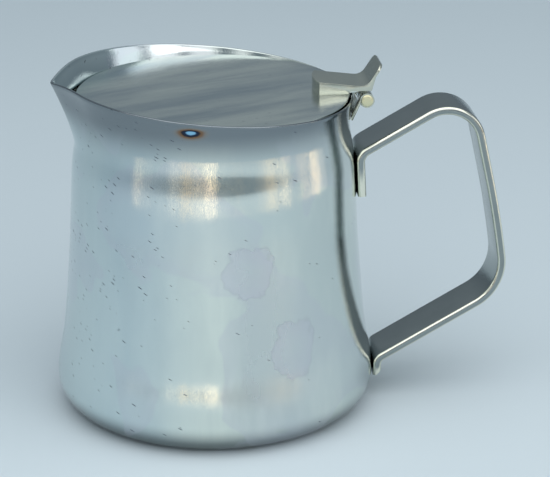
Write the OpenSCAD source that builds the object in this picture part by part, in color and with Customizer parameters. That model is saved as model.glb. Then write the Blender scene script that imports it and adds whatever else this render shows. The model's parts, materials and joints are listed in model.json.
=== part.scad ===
// Serving jug in sheet steel with a bent strap handle and a hinged lid.
// The origin is the centre of the foot on the table, +Z up, +X towards the handle.

/* [Body] */
// Widest diameter, just above the foot
base_d = 112; // [106:1:122]
// Rounding between the floor and the wall
foot_r = 11; // [6:0.5:14]
// Height of the belly, where the wall straightens
belly_z = 30; // [24:1:38]
// Diameter at the belly
belly_d = 106.4; // [102:0.2:112]
// Height of the waist, half way up
waist_z = 62; // [52:1:70]
// Diameter at the waist
waist_d = 101; // [98:0.5:106]
// Height of the shoulder
shoulder_z = 88; // [80:1:92]
// Diameter at the shoulder
shoulder_d = 98.3; // [96:0.1:102]
// Height of the neck, the narrowest place
neck_z = 104; // [101:1:112]
// Diameter at the neck
neck_d = 94.7; // [90:0.1:98]
// Thickness of the wall and the floor
wall = 0.8; // [0.6:0.1:1.2]

/* [Rim and spout] */
// Radius of the arc along which the wall flares out above the neck
flare_r = 32; // [26:1:44]
// Height of the rim over the neck, on the jug's axis
rim_rise = 12.1; // [10:0.1:15]
// Slope of the rim, up towards the spout
rim_tilt = 5; // [2:0.5:6]
// How far the spout's tip stands out of the flare
spout_reach = 5; // [2:0.5:8]
// Angle round the rim over which the spout spreads
spout_spread = 48; // [30:2:70]
// How fast the spout narrows to its tip
spout_point = 2.2; // [1.2:0.1:3]
// Drop of the rim at the spout's tip
spout_drop = 2.6; // [0:0.2:4]
// Distance under the neck at which the spout begins
spout_root = 7; // [3:0.5:8]

/* [Handle] */
// Width of the strap
strap_w = 19; // [12:0.5:24]
// Thickness of the strap
strap_t = 3; // [2:0.5:4]
// Rounding of the strap's long edges
strap_edge = 0.8; // [0.3:0.1:0.9]
// Length of the upper leg that is welded to the wall
leg_len = 15; // [10:0.5:20]
// Distance from the neck down to the bend over that leg
leg_drop = 12.9; // [11:0.1:18]
// Inner bend at the leg, on the strap's centre line
leg_bend = 4.5; // [3:0.5:6]
// Distance from the base's edge out to the upper corner
top_reach = 32.9; // [28:0.1:38]
// Height of the upper corner over the neck
top_rise = 9; // [4:0.5:12]
// Bend at the upper corner
top_bend = 12.5; // [8:0.5:15]
// Distance from the base's edge out to the middle of the grip
grip_reach = 42.8; // [40:0.1:48]
// Height of the middle of the grip
grip_z = 68.7; // [62:0.1:74]
// Radius of the grip's outward bow
grip_bow = 360; // [200:10:380]
// Distance from the base's edge out to the lower corner
low_reach = 46.9; // [42:0.1:50]
// Height of the lower corner
low_z = 40.2; // [36:0.1:44]
// Bend at the lower corner
low_bend = 17.5; // [12:0.5:18]
// Bend at the lower tab
tab_bend = 3.5; // [2.5:0.5:5]
// Height of the lower tab's bend over the widest place of the body
tab_rise = 3.2; // [2:0.1:5]
// Length of the lower tab under its bend
tab_len = 6; // [4.5:0.1:8]
// Bevel of the lower tab's end
tab_bevel = 2; // [1:0.1:2.4]

/* [Hinge] */
// Diameter of the hinge pin
pin_d = 3.2; // [2.4:0.1:4]
// Length of the hinge pin
pin_len = 17; // [16.6:0.1:19]
// Distance from the rim out to the pin's axis
pin_out = 4.2; // [3.8:0.1:6]
// Width of the hinge leaf
leaf_w = 16; // [14:0.5:16.5]
// Thickness of the hinge leaf's sheet
leaf_t = 0.95; // [0.7:0.05:1.2]
// Lean of the leaf from upright
leaf_lean = 26; // [20:1:32]
// Width of the lid's middle knuckle
knuckle_w = 7.4; // [5:0.1:9]
// Gap between the middle knuckle and each eye of the leaf
knuckle_gap = 0.3; // [0.2:0.05:0.6]

/* [Lid] */
// Thickness of the lid's sheet
lid_t = 0.9; // [0.7:0.05:1.2]
// Gap between the lid's edge and the flare
lid_gap = 0.5; // [0.4:0.05:1.2]
// Gap between the lid and the rim that its tongue crosses
lid_lift = 0.3; // [0.3:0.05:1]
// Width of each rest under the lid
rest_w = 5.4; // [3:0.1:8]
// Height of each rest
rest_h = 2.6; // [1.5:0.1:4]
// How far each rest stands in under the lid
rest_in = 2.2; // [1.5:0.1:4]
// Direction of the rests, counted round the jug from the hinge
rest_angle = 103; // [70:1:150]

/* [Thumb lever] */
// Width of the lever
lever_w = 15.5; // [12:0.5:16]
// Thickness of the lever's sheet
lever_t = 0.9; // [0.7:0.05:1.2]
// Distance from the pin's axis to the lever's blunt end
lever_back = 16.6; // [13:0.1:22]
// Height of the blunt end over the lid
lever_h = 4.6; // [4:0.1:6]
// Height of the lever's bend over the pin's axis
lever_dip = 4.4; // [4.2:0.1:5.2]
// Radius of the blunt end, seen from above
lever_end_r = 20; // [16:1:30]
// Bend where the lever turns up into the thumb plate
thumb_bend = 4.5; // [3:0.5:6]
// How far the thumb plate's end stands out past the pin's axis
thumb_out = 5; // [4:0.1:6]
// Height of the thumb plate's end over the pin's axis
thumb_rise = 12.2; // [11:0.1:14]

/* [Hidden] */
$fn = 96;

base_r = base_d / 2;
pin_r = pin_d / 2;

// The steps of the wall's curve, of the foot's rounding and of the spun lip
wall_steps = 20;
foot_steps = 6;
lip_steps = 112;
lip_rows = 8;
// Degrees to a step in a bend, and steps round the edge of a bar
bend_step = 8;
edge_steps = 3;
// How much closer the lip's steps stand at the spout than at the hinge
lip_crowding = 0.4;
// Half the height over which the wall's slope is taken
slope_step = 0.05;
// The lip starts this far under the neck, laps the spun wall and lies this far inside its faces
seam_z = neck_z - 9;
seam_lap = 1.5;
seam_tuck = 0.05;
// Angle over which the spout's tip is rounded off
spout_soft = 2;

// Depth to which the strap is let into the wall, for its welds
weld_bite = 0.15;
// Share of the upper leg, from its bend, at which it beds on the wall, and half the length it beds on
leg_bed = 2 / 3;
bed_half = 2;
// Clearance of the pin in the leaf's eyes, where it is held, and in the knuckle that turns
held_fit = 0.02;
running_fit = 0.05;
// Chamfer of the pin's ends
pin_nose = 0.4;
// Gap between the knuckle and the leaf behind it
notch_gap = 0.4;
// Slits in the rolled eyes, in degrees round the pin past the place where the sheet meets the eye
leaf_slit = [1, 42];
knuckle_slit = [10, 52];
// Gaps that the leaf and the rests keep from the wall, and the rests from the lid
leaf_seat = 0.03;
rest_seat = 0.05;
rest_gap = 0.2;
// How far a cut runs past what it cuts
overrun = 1;

// ---- The body's outline ----

// Height, radius and slope at the places where the wall's curve is set
wall_marks = [
    [foot_r, base_r, 0],
    [belly_z, belly_d / 2, (waist_d / 2 - base_r) / (waist_z - foot_r)],
    [waist_z, waist_d / 2, (shoulder_d - belly_d) / 2 / (shoulder_z - belly_z)],
    [shoulder_z, shoulder_d / 2, (neck_d - waist_d) / 2 / (neck_z - waist_z)],
    [neck_z, neck_d / 2, 0]
];

// A cubic curve from one mark to the next
function between(p, q, z) =
    let (h = q[0] - p[0], t = (z - p[0]) / h)
    (2 * t^3 - 3 * t^2 + 1) * p[1] + (t^3 - 2 * t^2 + t) * h * p[2]
    + (3 * t^2 - 2 * t^3) * q[1] + (t^3 - t^2) * h * q[2];

// Outer radius of the round body at a height
function wall_r(z) =
    z < foot_r ? base_r - foot_r + sqrt(foot_r^2 - (foot_r - z)^2) :
    z > neck_z ? neck_d / 2 + flare_r - sqrt(flare_r^2 - (z - neck_z)^2) :
    let (i = z < belly_z ? 0 : z < waist_z ? 1 : z < shoulder_z ? 2 : 3)
    between(wall_marks[i], wall_marks[i + 1], z);

// The level part of the wall's thickness where the wall leans by a slope
function thickness(slope) = wall * sqrt(1 + slope^2);
function inner_r(z) =
    wall_r(z) - thickness((wall_r(z + slope_step) - wall_r(z - slope_step)) / (2 * slope_step));

// ---- The rim and the spout ----

rim_z = neck_z + rim_rise;
tip_z = rim_z + tan(rim_tilt) * neck_d / 2 - spout_drop;

// How much of the spout stands at an angle round the rim, 1 at its tip
function beak(a) =
    let (off = sqrt((180 - a)^2 + spout_soft^2) - spout_soft, half = spout_spread / 2)
    off < half ? (1 - off / half)^spout_point : 0;

// How far the spout has come out at a height, 1 at the rim
function swell(z) = sin(90 * max(0, min(1, (z - neck_z + spout_root) / (tip_z - neck_z + spout_root))));

// Outer radius of the lip at a height and an angle
function skin_r(z, a) = wall_r(z) + spout_reach * beak(a) * swell(z);
function lean(z, a) = (skin_r(z + slope_step, a) - skin_r(z - slope_step, a)) / (2 * slope_step);

// Height of the rim at an angle: the sloping plane, less the drop at the spout
function sloped(z, a) = rim_z - tan(rim_tilt) * skin_r(z, a) * cos(a) - spout_drop * beak(a);
function rim_height(a) = sloped(sloped(rim_z, a), a);

function lip_angle(i) = let (t = 360 * i / lip_steps) t + lip_crowding * sin(t) * 180 / PI;

// A point of the lip: row 0 is the end of the lap, the last row is the rim
function lip_point(row, a, inside) =
    let (
        z = row == 0 ? seam_z - seam_lap : seam_z + (rim_height(a) - seam_z) * (row - 1) / lip_rows,
        tuck = row < 2 ? seam_tuck : 0,
        r = inside ? skin_r(z, a) - thickness(lean(z, a)) + tuck : skin_r(z, a) - tuck
    )
    [r * cos(a), r * sin(a), z];

// ---- The hinge and the lid, placed from the rim where the tongue crosses it ----

hinge_rim_x = wall_r(rim_height(0));
lid_under = rim_height(0) + lid_lift;
lid_top = lid_under + lid_t;
lid_r = inner_r(lid_under) - lid_gap;
knuckle_r = pin_r + running_fit + lid_t;
eye_r = pin_r + held_fit + leaf_t;
pin_x = hinge_rim_x + pin_out;
pin_z = lid_top - knuckle_r;
eye_y = knuckle_w / 2 + knuckle_gap;

// ---- The strap's centre line, seen from the side ----

leg_z = neck_z - leg_drop;
bed_z = leg_z - leg_len * leg_bed;
bed_slope = (wall_r(bed_z + bed_half) - wall_r(bed_z - bed_half)) / (2 * bed_half);
function leg_x(z) = wall_r(bed_z) + bed_slope * (z - bed_z) + strap_t / 2 - weld_bite;
tab_x = base_r + strap_t / 2 - weld_bite;
tab_z = foot_r + tab_rise;
strap_line = [
    [leg_x(leg_z - leg_len), leg_z - leg_len],
    [leg_x(leg_z), leg_z],
    [base_r + top_reach, neck_z + top_rise],
    [base_r + grip_reach, grip_z],
    [base_r + low_reach, low_z],
    [tab_x, tab_z],
    [tab_x, tab_z - tab_len]
];
strap_bends = [0, leg_bend, top_bend, grip_bow, low_bend, tab_bend, 0];

// ---- Strips that are bent in the XZ plane ----

function unit(v) = v / norm(v);
function leftward(v) = [-v[1], v[0]];
function turned(v, a) = [v[0] * cos(a) - v[1] * sin(a), v[0] * sin(a) + v[1] * cos(a)];
function heading(line, i) = unit(line[i + 1] - line[i]);
// The turn at a corner, positive to the left
function turn(line, i) =
    let (u = heading(line, i - 1), v = heading(line, i))
    atan2(u[0] * v[1] - u[1] * v[0], u * v);

// Stations round the bend at a corner, each a place and a direction
function bend_stations(line, radius, i) =
    let (
        along = heading(line, i - 1),
        bend = turn(line, i),
        inward = sign(bend) * leftward(along),
        start = line[i] - along * radius * tan(abs(bend) / 2),
        centre = start + inward * radius,
        steps = ceil(abs(bend) / bend_step)
    )
    [for (k = [0:steps]) let (a = bend * k / steps) [centre - radius * turned(inward, a), turned(along, a)]];
function stations(line, bends) =
    let (last = len(line) - 1)
    concat(
        [[line[0], heading(line, 0)]],
        [for (i = [1:last - 1]) each bend_stations(line, bends[i], i)],
        [[line[last], heading(line, last - 1)]]
    );

// The points along one side of a bent strip, shifted to the left of its line
function strip_side(line, bends, shift) =
    [for (s = stations(line, bends)) s[0] + shift * leftward(s[1])];

// Half sizes and rounding of a bar's section, as points round it: across the strip, then out of it
function bar_section(width, thick, edge) = [
    for (corner = [[1, 1, 0], [-1, 1, 90], [-1, -1, 180], [1, -1, 270]], k = [0:edge_steps])
        let (a = corner[2] + 90 * k / edge_steps)
        [
            corner[0] * (width / 2 - edge) + edge * cos(a),
            corner[1] * (thick / 2 - edge) + edge * sin(a)
        ]
];

// A bar swept along a bent line
module swept_bar(line, bends, width, thick, edge) {
    section = bar_section(width, thick, edge);
    places = stations(line, bends);
    round = len(section);
    points = [
        for (s = places, q = section)
            let (spot = s[0] + q[1] * leftward(s[1]))
            [spot[0], q[0], spot[1]]
    ];
    last = (len(places) - 1) * round;
    faces = concat(
        [[for (i = [round - 1:-1:0]) i]],
        [
            for (k = [0:len(places) - 2], i = [0:round - 1])
                let (j = (i + 1) % round, low = k * round, high = low + round)
                each [[low + i, low + j, high + j], [low + i, high + j, high + i]]
        ],
        [[for (i = [0:round - 1]) last + i]]
    );
    polyhedron(points, faces, convexity = 6);
}

// An outline in the XZ plane, carried across by a width
module across(width) {
    translate([0, width / 2, 0])
        rotate([90, 0, 0])
            linear_extrude(width)
                children();
}

// ---- Sub-parts ----

// The wall as a line of points from the foot's edge up to a seam
foot_arc = [
    for (i = [0:foot_steps])
        let (a = -90 + 90 * i / foot_steps) [base_r - foot_r + foot_r * cos(a), foot_r + foot_r * sin(a)]
];
foot_arc_inside = [
    for (i = [foot_steps:-1:0])
        let (a = -90 + 90 * i / foot_steps, r = foot_r - wall)
        [base_r - foot_r + r * cos(a), foot_r + r * sin(a)]
];
wall_levels = [for (i = [1:wall_steps]) foot_r + (seam_z - foot_r) * i / wall_steps];
outer_line = concat(foot_arc, [for (z = wall_levels) [wall_r(z), z]]);
inner_line = concat(
    [for (i = [wall_steps - 1:-1:0]) [inner_r(wall_levels[i]), wall_levels[i]]],
    foot_arc_inside
);

// The part below the seam is a plain spinning with a flat floor
module spun_wall() {
    rotate_extrude()
        polygon(concat([[0, 0]], outer_line, inner_line, [[0, wall]]));
}

// The lip is a loft: rings up the outside, over the rim and down the inside
module lip() {
    rows = [for (row = [0:lip_rows + 1]) row];
    rings = concat(
        [for (row = rows) [row, false]],
        [for (row = rows) [lip_rows + 1 - row, true]]
    );
    points = [for (ring = rings, i = [0:lip_steps - 1]) lip_point(ring[0], lip_angle(i), ring[1])];
    function at(ring, i) = (ring % len(rings)) * lip_steps + i % lip_steps;
    faces = [
        for (ring = [0:len(rings) - 1], i = [0:lip_steps - 1])
            each [
                [at(ring, i), at(ring + 1, i), at(ring + 1, i + 1)],
                [at(ring, i), at(ring + 1, i + 1), at(ring, i + 1)]
            ]
    ];
    polyhedron(points, faces, convexity = 6);
}

module body_shell() {
    color("silver") {
        spun_wall();
        lip();
    }
}

module handle_strap() {
    tab_end = strap_line[len(strap_line) - 1];
    color("gainsboro")
        difference() {
            swept_bar(strap_line, strap_bends, strap_w, strap_t, strap_edge);
            // The wall's own round, so that the flat strap beds on it
            rotate_extrude()
                polygon(concat([[0, 0]], outer_line, [[0, seam_z]]));
            // The bevel of the tab's end
            translate([tab_end[0] + strap_t / 2, 0, tab_end[1]])
                rotate([0, 45, 0])
                    cube([tab_bevel * sqrt(2), strap_w + 2 * overrun, tab_bevel * sqrt(2)], center = true);
        }
}

// A round eye about the pin's axis, which the sheet meets at an angle, and a slit behind that place
module rolled_eye(radius, bore, from_y, to_y, sheet_at, slit) {
    reach = radius * 2;
    slit_side = [for (past = slit) reach * [cos(sheet_at + past), sin(sheet_at + past)]];
    translate([pin_x, to_y, pin_z])
        rotate([90, 0, 0])
            linear_extrude(to_y - from_y)
                difference() {
                    circle(radius);
                    circle(bore);
                    polygon([[0, 0], slit_side[0], slit_side[1]]);
                }
}

// The leaf below the eyes: round against the neck at its foot, straight at the eyes
module leaf_sheet() {
    columns = 8;
    rows = 4;
    foot_z = neck_z;
    away = [-cos(leaf_lean), sin(leaf_lean)];
    top = [pin_x, pin_z] + eye_r * away;
    function leaf_point(row, y, depth) =
        let (
            t = row / rows,
            foot_x = sqrt((wall_r(foot_z) + leaf_seat)^2 - y^2),
            spot = (1 - t) * [foot_x, foot_z] + t * top
        )
        [spot[0] - away[0] * depth, y, spot[1] - away[1] * depth];
    points = [
        for (depth = [0, leaf_t], row = [0:rows], i = [0:columns])
            leaf_point(row, leaf_w * (i / columns - 0.5), depth)
    ];
    function at(side, row, i) = (side * (rows + 1) + row) * (columns + 1) + i;
    // A quad as two triangles
    function quad(a, b, c, d) = [[a, b, c], [a, c, d]];
    faces = concat(
        [for (r = [0:rows - 1], i = [0:columns - 1])
            each quad(at(0, r, i), at(0, r, i + 1), at(0, r + 1, i + 1), at(0, r + 1, i))],
        [for (r = [0:rows - 1], i = [0:columns - 1])
            each quad(at(1, r, i), at(1, r + 1, i), at(1, r + 1, i + 1), at(1, r, i + 1))],
        [for (r = [0:rows - 1])
            each quad(at(0, r, 0), at(0, r + 1, 0), at(1, r + 1, 0), at(1, r, 0))],
        [for (r = [0:rows - 1])
            each quad(at(0, r, columns), at(1, r, columns), at(1, r + 1, columns), at(0, r + 1, columns))],
        [for (i = [0:columns - 1])
            each quad(at(0, 0, i), at(1, 0, i), at(1, 0, i + 1), at(0, 0, i + 1))],
        [for (i = [0:columns - 1])
            each quad(at(0, rows, i), at(0, rows, i + 1), at(1, rows, i + 1), at(1, rows, i))]
    );
    polyhedron(points, faces, convexity = 4);
}

module hinge_leaf() {
    color("lightsteelblue") {
        difference() {
            leaf_sheet();
            // The notch for the lid's knuckle
            translate([pin_x, eye_y, pin_z])
                rotate([90, 0, 0])
                    cylinder(r = knuckle_r + notch_gap, h = 2 * eye_y);
            // The pin's bore, carried on through the sheet
            translate([pin_x, leaf_w, pin_z])
                rotate([90, 0, 0])
                    cylinder(r = pin_r + held_fit, h = 2 * leaf_w);
        }
        for (side = [-1, 1])
            rolled_eye(
                eye_r, pin_r + held_fit,
                side > 0 ? eye_y : -leaf_w / 2, side > 0 ? leaf_w / 2 : -eye_y,
                180 - leaf_lean, leaf_slit
            );
    }
}

module hinge_pin() {
    color("khaki")
        translate([pin_x, pin_len / 2, pin_z])
            rotate([90, 0, 0])
                rotate_extrude()
                    polygon([
                        [0, 0], [pin_r - pin_nose, 0], [pin_r, pin_nose],
                        [pin_r, pin_len - pin_nose], [pin_r - pin_nose, pin_len], [0, pin_len]
                    ]);
}

// A flat disc with a tongue that crosses the rim and is rolled round the pin
module lid_plate() {
    color("lightgray") {
        translate([0, 0, lid_under])
            cylinder(r = lid_r, h = lid_t);
        translate([lid_r - knuckle_w, -knuckle_w / 2, lid_under])
            cube([pin_x - lid_r + knuckle_w, knuckle_w, lid_t]);
        rolled_eye(knuckle_r, pin_r + running_fit, -knuckle_w / 2, knuckle_w / 2, 90, knuckle_slit);
    }
}

// The lever's blunt end from above, drawn in by the given amount
module lever_end(inset) {
    translate([pin_x - lever_back + lever_end_r, 0])
        circle(lever_end_r - inset);
}

// A pressed channel on the lid, turned up into a thumb plate past the pin
module thumb_lever() {
    blunt = [pin_x - lever_back, lid_top + lever_h - lever_t / 2];
    dip = [pin_x, pin_z + lever_dip];
    line = [blunt - unit(dip - blunt) * lever_t, dip, [pin_x + thumb_out, pin_z + thumb_rise]];
    bends = [0, thumb_bend, 0];
    thumb = heading(line, 1);
    upper = strip_side(line, bends, lever_t / 2);
    lower = strip_side(line, bends, -lever_t / 2);
    // The flanges stand on the lid, step up over the rim and run out along the thumb plate
    bend_end = lower[len(lower) - 2];
    flange_step = lever_t;
    flange_run = 2 * lever_t;
    run_out = bend_end + thumb * flange_run;
    step_x = sqrt(lid_r^2 - (lever_w / 2)^2) - lid_gap;
    outside = concat(upper, [
        lower[len(lower) - 1],
        run_out,
        [pin_x + pin_r, lid_top + flange_step],
        [step_x + flange_step, lid_top + flange_step],
        [step_x, lid_top],
        [lower[0][0], lid_top]
    ]);
    cut_z = lid_top - 2 * overrun;
    inside = concat(
        [for (i = [0:len(lower) - 2]) lower[i]],
        [bend_end + thumb * flange_run / 2, [run_out[0], cut_z], [lower[0][0], cut_z]]
    );
    above = 2 * thumb_rise;
    color("whitesmoke")
        intersection() {
            translate([0, 0, lid_top - overrun])
                linear_extrude(above)
                    lever_end(0);
            difference() {
                across(lever_w)
                    polygon(outside);
                intersection() {
                    across(lever_w - 2 * lever_t)
                        polygon(inside);
                    translate([0, 0, cut_z - overrun])
                        linear_extrude(above)
                            lever_end(lever_t);
                }
            }
        }
}

// A lug on the flare's inside that the lid lies on
module lid_rest(angle) {
    top = lid_under - rest_gap;
    seat_steps = 3;
    levels = [for (i = [0:seat_steps]) top - rest_h + rest_h * i / seat_steps];
    color("darkgray")
        intersection() {
            rotate_extrude()
                polygon(concat(
                    [[0, top - rest_h]],
                    [for (z = levels) [inner_r(z) - rest_seat, z]],
                    [[0, top]]
                ));
            rotate([0, 0, angle])
                translate([inner_r(top) - rest_in, -rest_w / 2, top - rest_h])
                    cube([rest_in + wall, rest_w, rest_h]);
        }
}

module lid_rest_front() {
    lid_rest(-rest_angle);
}

module lid_rest_back() {
    lid_rest(rest_angle);
}

body_shell();
handle_strap();
hinge_leaf();
hinge_pin();
lid_plate();
thumb_lever();
lid_rest_front();
lid_rest_back();
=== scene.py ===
import json
import math
import random

import bmesh
import bpy
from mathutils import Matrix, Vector


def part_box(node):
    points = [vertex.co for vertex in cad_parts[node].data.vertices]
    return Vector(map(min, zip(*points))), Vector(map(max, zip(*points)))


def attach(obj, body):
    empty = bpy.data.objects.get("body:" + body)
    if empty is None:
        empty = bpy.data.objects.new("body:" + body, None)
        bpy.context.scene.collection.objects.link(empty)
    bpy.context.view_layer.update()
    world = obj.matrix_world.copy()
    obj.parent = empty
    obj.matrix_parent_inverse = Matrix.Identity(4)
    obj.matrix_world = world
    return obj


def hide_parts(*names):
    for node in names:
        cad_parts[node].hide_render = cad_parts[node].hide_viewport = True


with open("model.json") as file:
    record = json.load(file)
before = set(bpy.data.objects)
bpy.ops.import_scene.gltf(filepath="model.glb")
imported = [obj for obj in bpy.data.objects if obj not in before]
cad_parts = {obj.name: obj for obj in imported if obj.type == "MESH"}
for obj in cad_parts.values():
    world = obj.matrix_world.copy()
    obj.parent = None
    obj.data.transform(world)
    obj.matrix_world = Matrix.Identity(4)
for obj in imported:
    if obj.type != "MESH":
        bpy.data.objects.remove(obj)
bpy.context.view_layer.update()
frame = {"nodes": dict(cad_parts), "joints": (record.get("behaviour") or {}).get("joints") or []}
hinge = frame["joints"][0]
pinX, pinY, pinZ = hinge["pos_m"]
print("frame loaded, pin at", round(pinX, 5), round(pinZ, 5))


# the jug's outline: a drawn body, a flared lip with a sloping rim, a pressed spout

jug = {
    "baseRadius": 0.056,
    "footRound": 0.011,
    "marks": [(0.030, 0.0532), (0.062, 0.0505), (0.088, 0.04915), (0.104, 0.04735)],
    "flareRadius": 0.032,
    "rimHeight": 0.1161,
    "rimTilt": math.radians(5),
    "wall": 0.0008,
    "spoutReach": 0.005,
    "spoutSpread": math.radians(48),
    "spoutPoint": 2.2,
    "spoutDrop": 0.0026,
    "spoutRoot": 0.007,
    "spoutSoft": math.radians(2),
    "columns": 320,
    "crowding": 0.35,
    "footRows": 14,
    "wallRows": 84,
    "rimRows": 6,
}


def wallMarks():
    # height, radius and slope at each place where the curve is set
    points = [(jug["footRound"], jug["baseRadius"])] + jug["marks"]
    slopes = [0.0]
    for before, after in zip(points, points[2:]):
        slopes.append((after[1] - before[1]) / (after[0] - before[0]))
    slopes.append(0.0)
    return [(z, r, s) for (z, r), s in zip(points, slopes)]


marks = wallMarks()
neckZ, neckRadius, _ = marks[-1]


def wallRadius(z):
    if z < jug["footRound"]:
        foot = jug["footRound"]
        return jug["baseRadius"] - foot + math.sqrt(foot ** 2 - (foot - z) ** 2)
    if z > neckZ:
        flare = jug["flareRadius"]
        return neckRadius + flare - math.sqrt(flare ** 2 - (z - neckZ) ** 2)
    for low, high in zip(marks, marks[1:]):
        if z <= high[0]:
            break
    h = high[0] - low[0]
    t = (z - low[0]) / h
    start = (2 * t ** 3 - 3 * t ** 2 + 1) * low[1] + (t ** 3 - 2 * t ** 2 + t) * h * low[2]
    end = (3 * t ** 2 - 2 * t ** 3) * high[1] + (t ** 3 - t ** 2) * h * high[2]
    return start + end


tipZ = jug["rimHeight"] + math.tan(jug["rimTilt"]) * neckRadius - jug["spoutDrop"]


def beak(a):
    off = math.hypot(math.pi - a, jug["spoutSoft"]) - jug["spoutSoft"]
    half = jug["spoutSpread"] / 2
    return (1 - off / half) ** jug["spoutPoint"] if off < half else 0.0


def swell(z):
    root = neckZ - jug["spoutRoot"]
    share = min(1.0, max(0.0, (z - root) / (tipZ - root)))
    return math.sin(math.pi / 2 * share)


def skinRadius(z, a):
    return wallRadius(z) + jug["spoutReach"] * beak(a) * swell(z)


def rimHeight(a):
    z = jug["rimHeight"]
    for _ in range(3):
        slope = math.tan(jug["rimTilt"]) * skinRadius(z, a) * math.cos(a)
        z = jug["rimHeight"] - slope - jug["spoutDrop"] * beak(a)
    return z


def levelThickness(z, a):
    step = 0.00005
    slope = (skinRadius(z + step, a) - skinRadius(z - step, a)) / (2 * step)
    return jug["wall"] * math.hypot(1, slope)


# small helpers for meshes

mergeDistance = 1e-6


def addPiece(name, mesh, material):
    piece = bpy.data.objects.new(name, mesh)
    bpy.context.scene.collection.objects.link(piece)
    mesh.materials.clear()
    mesh.materials.append(material)
    mesh.shade_smooth()
    return piece


def ringMesh(name, rings):
    # rings of equal length, joined in order
    count = len(rings[0])
    verts = [p for ring in rings for p in ring]
    faces = []
    for low in range(0, (len(rings) - 1) * count, count):
        high = low + count
        for i in range(count):
            k = (i + 1) % count
            faces.append((low + i, low + k, high + k, high + i))
    mesh = bpy.data.meshes.new(name)
    mesh.from_pydata(verts, [], faces)
    return mesh


def spunMesh(name, profile, columns, centre=(0.0, 0.0, 0.0), along="Z"):
    # a profile of (radius, height) about an axis; its ends on the axis become single points
    mesh = bpy.data.meshes.new(name)
    work = bmesh.new()
    rings = []
    for radius, height in profile:
        ring = []
        for i in range(1 if radius < 1e-7 else columns):
            a = 2 * math.pi * i / columns
            spot = (radius * math.cos(a), radius * math.sin(a), height)
            if along == "Y":
                spot = (spot[0], spot[2], spot[1])
            ring.append(work.verts.new(Vector(centre) + Vector(spot)))
        rings.append(ring)
    for low, high in zip(rings, rings[1:]):
        for i in range(columns):
            k = (i + 1) % columns
            corners = [low[i % len(low)], low[k % len(low)], high[k % len(high)], high[i % len(high)]]
            work.faces.new(list(dict.fromkeys(corners)))
    bmesh.ops.recalc_face_normals(work, faces=work.faces)
    work.to_mesh(mesh)
    work.free()
    return mesh


def bakePiece(piece):
    # the modifiers' result becomes the plain mesh of the piece
    graph = bpy.context.evaluated_depsgraph_get()
    result = bpy.data.meshes.new_from_object(piece.evaluated_get(graph))
    piece.modifiers.clear()
    piece.data = result
    return piece


def softenEdges(piece, width, segments=3, angle=35):
    bevel = piece.modifiers.new("soft edges", "BEVEL")
    bevel.width = width
    bevel.segments = segments
    bevel.limit_method = "ANGLE"
    bevel.angle_limit = math.radians(angle)
    bevel.harden_normals = False
    bakePiece(piece)
    work = bmesh.new()
    work.from_mesh(piece.data)
    bmesh.ops.dissolve_degenerate(work, dist=mergeDistance, edges=work.edges)
    work.to_mesh(piece.data)
    work.free()
    piece.data.shade_smooth()
    piece.data.set_sharp_from_angle(angle=math.radians(angle + 15))
    return piece


def mergedCopy(nodeName, name, material):
    # a CAD node's own shape as a merged mesh, ready for its edges to be softened
    mesh = frame["nodes"][nodeName].data.copy()
    work = bmesh.new()
    work.from_mesh(mesh)
    bmesh.ops.remove_doubles(work, verts=work.verts, dist=mergeDistance)
    bmesh.ops.dissolve_limit(work, angle_limit=math.radians(1), verts=work.verts, edges=work.edges)
    work.to_mesh(mesh)
    work.free()
    return addPiece(name, mesh, material)


# shader groups that several metals share

def newGroup(name, inputs, outputs):
    group = bpy.data.node_groups.new(name, "ShaderNodeTree")
    for label, kind, value in inputs:
        socket = group.interface.new_socket(name=label, in_out="INPUT", socket_type=kind)
        socket.default_value = value
    for label, kind in outputs:
        group.interface.new_socket(name=label, in_out="OUTPUT", socket_type=kind)
    return group, group.nodes.new("NodeGroupInput"), group.nodes.new("NodeGroupOutput")


def mathNode(tree, operation, a, b=0.5, clamp=False):
    node = tree.nodes.new("ShaderNodeMath")
    node.operation = operation
    node.use_clamp = clamp
    for slot, value in enumerate((a, b)):
        if isinstance(value, (int, float)):
            node.inputs[slot].default_value = value
        else:
            tree.links.new(value, node.inputs[slot])
    return node.outputs[0]


def scaled(tree, value, factor):
    return mathNode(tree, "MULTIPLY", value, factor)


def inverse(tree, value):
    return mathNode(tree, "SUBTRACT", 1.0, value)


def levels(tree, source, low, high):
    # a mask from 0 to 1 turned into values from low to high
    return mathNode(tree, "ADD", scaled(tree, source, high - low), low)


def ramp(tree, source, stops, blend="EASE"):
    node = tree.nodes.new("ShaderNodeValToRGB")
    node.color_ramp.interpolation = blend
    marksOnRamp = node.color_ramp.elements
    while len(marksOnRamp) < len(stops):
        marksOnRamp.new(0.5)
    for mark, (place, colour) in zip(marksOnRamp, stops):
        mark.position = place
        mark.color = (*colour, 1)
    tree.links.new(source, node.inputs["Fac"])
    return node.outputs["Color"]


def noise(tree, vector, scale, detail=2.0, roughness=0.5, distortion=0.0):
    node = tree.nodes.new("ShaderNodeTexNoise")
    node.inputs["Scale"].default_value = scale
    node.inputs["Detail"].default_value = detail
    node.inputs["Roughness"].default_value = roughness
    node.inputs["Distortion"].default_value = distortion
    tree.links.new(vector, node.inputs["Vector"])
    return node.outputs["Fac"]


def stretched(tree, vector, scale):
    node = tree.nodes.new("ShaderNodeMapping")
    node.inputs["Scale"].default_value = scale
    tree.links.new(vector, node.inputs["Vector"])
    return node.outputs["Vector"]


def turned(tree, vector, slant, size=(1, 1, 1)):
    # a field turned about Z, and stretched along the turned directions
    node = tree.nodes.new("ShaderNodeMapping")
    node.vector_type = "TEXTURE"
    node.inputs["Rotation"].default_value = (0, 0, slant)
    node.inputs["Scale"].default_value = size
    tree.links.new(vector, node.inputs["Vector"])
    return node.outputs["Vector"]


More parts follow.
